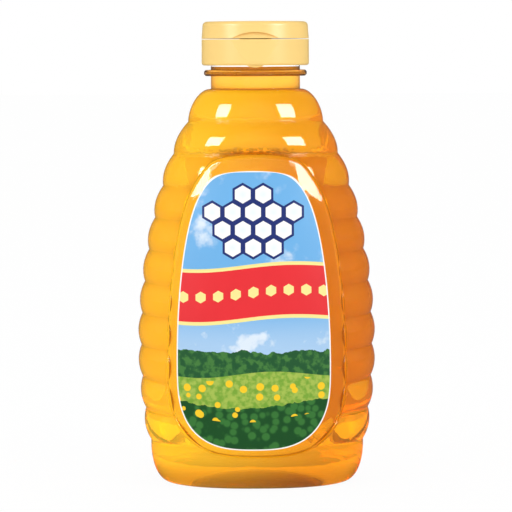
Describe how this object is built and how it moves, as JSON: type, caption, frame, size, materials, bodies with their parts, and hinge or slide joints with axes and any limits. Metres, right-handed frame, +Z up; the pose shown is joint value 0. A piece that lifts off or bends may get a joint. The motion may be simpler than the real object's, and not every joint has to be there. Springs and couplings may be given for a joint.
{
  "type": "honey squeeze bottle",
  "caption": "Clear ribbed squeeze bottle filled with honey, with a bell-shaped label panel front and back and a hinged flip-top cap.",
  "frame": {"origin": "on the table, under the middle of the bottle", "axes": "+Z up, X across the width, Y through the depth, the front faces -Y"},
  "size_m": [0.0888, 0.0662, 0.1716],
  "materials": {
    "clear_plastic": "clear, glossy",
    "honey": "clear amber",
    "label": "printed, satin",
    "cap": "satin"
  },
  "bodies": {
    "bottle": {"bottle": "clear_plastic", "honey": "honey", "label_front": "label", "label_back": "label", "cap_base": "cap"},
    "lid": {"cap_lid": "cap"}
  },
  "joints": [
    {"name": "lid_hinge", "type": "hinge", "parent": "bottle", "child": "lid", "pos_m": [0, 0.0212, 0.16515], "axis": [-1, 0, 0], "range_deg": [0, 170]}
  ]
}
